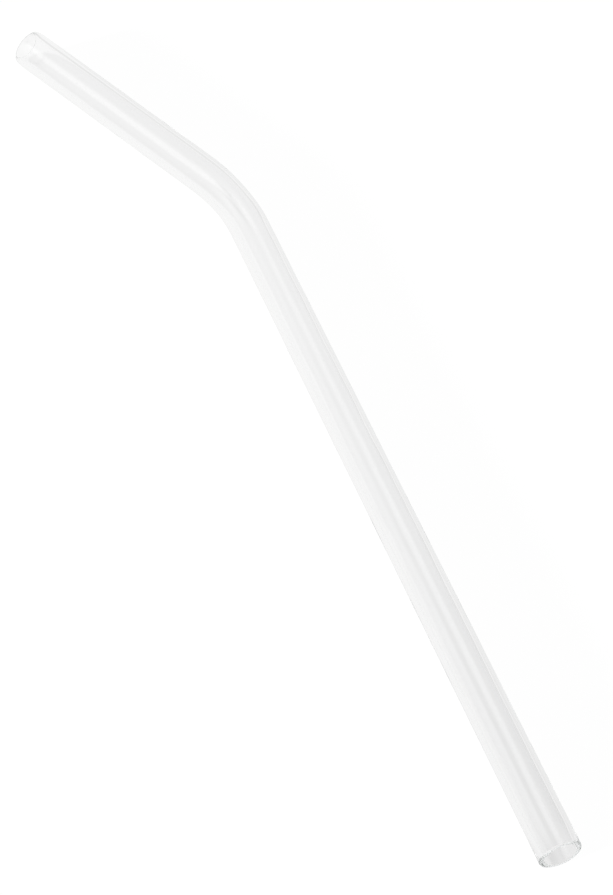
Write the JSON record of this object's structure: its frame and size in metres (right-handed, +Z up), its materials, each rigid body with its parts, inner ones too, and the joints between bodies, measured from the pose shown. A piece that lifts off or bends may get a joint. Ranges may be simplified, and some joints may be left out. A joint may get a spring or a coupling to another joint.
{
  "type": "bent glass straw",
  "caption": "Reusable drinking straw of clear glass: a long straight stem, one gentle bend and a short mouth stretch, with both open ends melted round.",
  "frame": {"origin": "middle of the straw's box, on the surface that the straw lies on", "axes": "+X along the stem, from its open end towards the bend and the mouth; +Z up from the surface; the bend turns towards +Y"},
  "size_m": [0.2104, 0.0358, 0.008],
  "materials": {
    "clear_glass": "clear, colourless and smooth, with fire-polished ends"
  },
  "bodies": {
    "root": {"straw": "clear_glass"}
  },
  "joints": []
}
